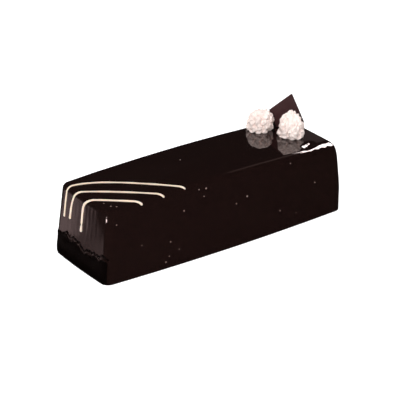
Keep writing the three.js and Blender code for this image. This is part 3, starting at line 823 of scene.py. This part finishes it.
# %% Plaque material
dark, place = new_material("cast_dark_chocolate")
speckle = noise(dark, place, size=1.0, detail=2.0)
spread = add_node(
    dark, "ShaderNodeMapRange", {"Value": speckle, "From Min": 0.3, "From Max": 0.7}
).outputs[0]
tone = blend(dark, spread, linear("341f20"), linear("46292a"))
speckled = bump(dark, speckle, strength=0.2, deep=0.1)
cover(dark, {"Base Color": tone, "Roughness": 0.48, "IOR": 1.5, "Normal": speckled})
put_in_frame(plaque_piece("chocolate_plaque_cast"), dark, "chocolate_plaque")

# %% [markdown]
# ## Floor, light and camera
# The cake stands on a light table: white paper that also glows a little, so that hardly a shadow falls
# on it. A mirror glaze shows whatever stands round it, and in this studio that is mostly dark, so the
# paper and the lamps that light the scene are kept out of its reflections. What shows in the glaze are
# a few panels and cards, and these in turn give no other light.

# %% Floor and world
FLOOR_SIZE, SKY_STRENGTH = 12000, 0.01
bpy.ops.mesh.primitive_plane_add(size=FLOOR_SIZE * MM)
floor = bpy.context.object
floor.name = "studio_floor"
floor.visible_glossy = False
paper, _ = new_material("white_paper")
cover(
    paper,
    {
        "Base Color": linear("f4f4f4"),
        "Roughness": 0.9,
        "Emission Color": linear("ffffff"),
        "Emission Strength": 0.55,
    },
)
floor.data.materials.append(paper)
world = bpy.data.worlds.new("studio")
world.use_nodes = True
sky = world.node_tree.nodes["Background"].inputs
sky["Color"].default_value = linear("ffffff")
sky["Strength"].default_value = SKY_STRENGTH
bpy.context.scene.world = world
bpy.context.scene.view_settings.view_transform = "Standard"
print("floor and sky:", floor.name, world.name)

# %% [markdown]
# Two lamps light the scene: a wide ceiling and a window in front, on the left. Four panels only show in
# the glaze. The key is what shines on the slumped slope and on the edge of the trough, the key's edge
# lights the front edge faintly, the glint sits on the front corner of the piped end, and the back card
# shows as a faint patch beside the front rosette.

# %% Lamps and panels
def panel(name, at, aim, size, radiance, lights=False, shows=True, tint="ffffff", spin=0.0):
    """A rectangular light in mm that faces a point, turned in its plane by spin degrees. Its power is
    radiance x pi x area, so radiance is how bright its face looks. lights says whether it lights the
    scene, shows whether the glaze mirrors it."""
    light = bpy.data.lights.new(name, "AREA")
    light.shape = "RECTANGLE"
    light.size, light.size_y = size[0] * MM, size[1] * MM
    light.energy = radiance * np.pi * light.size * light.size_y
    light.color = linear(tint)[:3]
    box = bpy.data.objects.new(name, light)
    box.location = Vector(at) * MM
    turned = Quaternion((0, 0, 1), np.radians(spin))
    box.rotation_euler = ((Vector(aim) - Vector(at)).to_track_quat("-Z", "Y") @ turned).to_euler()
    box.visible_camera = False
    box.visible_diffuse = lights
    box.visible_glossy = shows
    bpy.context.scene.collection.objects.link(box)


LAMP = {"lights": True, "shows": False}
panel(
    "ceiling", at=(-200, -200, 1500), aim=(-200, -200, 0), size=(2600, 2600), radiance=1.85, **LAMP
)
panel("window", at=(-900, -800, 500), aim=(0, 0, 60), size=(800, 800), radiance=5.0, **LAMP)
panel("key", at=(1790, 75, 1400), aim=(1790, 75, 0), size=(1220, 850), radiance=26.0)
panel(
    "key_edge", at=(1030, 75, 1400), aim=(1030, 75, 0), size=(290, 600), radiance=0.3, tint="ffe8e0"
)
panel("glint", at=(-330, -24, 67), aim=(-132, -24, 67), size=(80, 9), radiance=26.0, spin=21)
panel(
    "back_card", at=(522, 400, 245), aim=(522, 0, 245), size=(85, 110), radiance=0.12, tint="ffdfe0"
)

# %% [markdown]
# The piped end leans, so the camera sees the floor beside the cake in it. Cards that lie there give the
# end its satin sheen. Each is set by what it covers on the end: a height on the end is a way along the
# floor, to the left and back, and the cards stop below the top corner, which stays dark.

# %% Cards beside the piped end
END_AT, CARD_FOOT = -132.0, 20.7  # X of the end, and lowest height on it that shows a card
FLOOR_LEFT, FLOOR_BACK = 1.81, 2.27  # how far the mirrored place moves over the floor for each mm of height
CARD_LONG, CARD_WIDE = 3.0, 0.58  # length and width of a card for each mm that it covers on the end
CARD_LEVEL, CARD_AIM = 1, 100  # Z of the cards, and of the points that they face
CARD_SPIN = -35
END_CARDS = [  # place across the end, width, upper edge and radiance
    (40, 52, 67.5, 0.92),
    (8, 12, 66.5, 0.4),
    (-9, 22, 64, 0.27),
    (-26, 12, 59, 0.36),
    (-50, 36, 47, 0.36),
]
for number, (across, wide, top, radiance) in enumerate(END_CARDS):
    level = (CARD_FOOT + top) / 2
    middle = (END_AT - FLOOR_LEFT * level, across + FLOOR_BACK * level, CARD_LEVEL)
    above = (*middle[:2], CARD_AIM)
    size = (CARD_WIDE * wide, CARD_LONG * (top - CARD_FOOT))
    panel(f"end_card_{number}", middle, above, size, radiance, tint="ffe6e6", spin=CARD_SPIN)

# %% [markdown]
# The camera stands where the photograph was taken from. Its place and its focal length come from
# fitting the loaf's outline to the one in the photograph, so the two pictures can be laid over each
# other.

# %% Camera at the photograph's angle
AZIMUTH, ELEVATION, DISTANCE = np.radians(-35.51), np.radians(25.83), 1711.8
ASIDE, UPWARD = -1.62, 28.35  # how far the middle of the picture is from the origin, right and up
FOCAL, FRAME_WIDTH, SENSOR = 1772.9, 400, 36.0  # focal length and width of the picture in pixels
over_floor = np.cos(ELEVATION)
back = np.array([np.sin(AZIMUTH) * over_floor, -np.cos(AZIMUTH) * over_floor, np.sin(ELEVATION)])
right = np.array([np.cos(AZIMUTH), np.sin(AZIMUTH), 0])
lens = bpy.data.cameras.new("camera")
lens.sensor_width = SENSOR
lens.lens = FOCAL / FRAME_WIDTH * SENSOR
camera = bpy.data.objects.new("camera", lens)
camera.location = Vector(right * ASIDE + np.cross(back, right) * UPWARD + back * DISTANCE) * MM
camera.rotation_euler = Vector(-back).to_track_quat("-Z", "Y").to_euler()
bpy.context.scene.collection.objects.link(camera)
bpy.context.scene.camera = camera
print("camera at", np.round(camera.location, 3), "lens", round(lens.lens, 1), "mm")
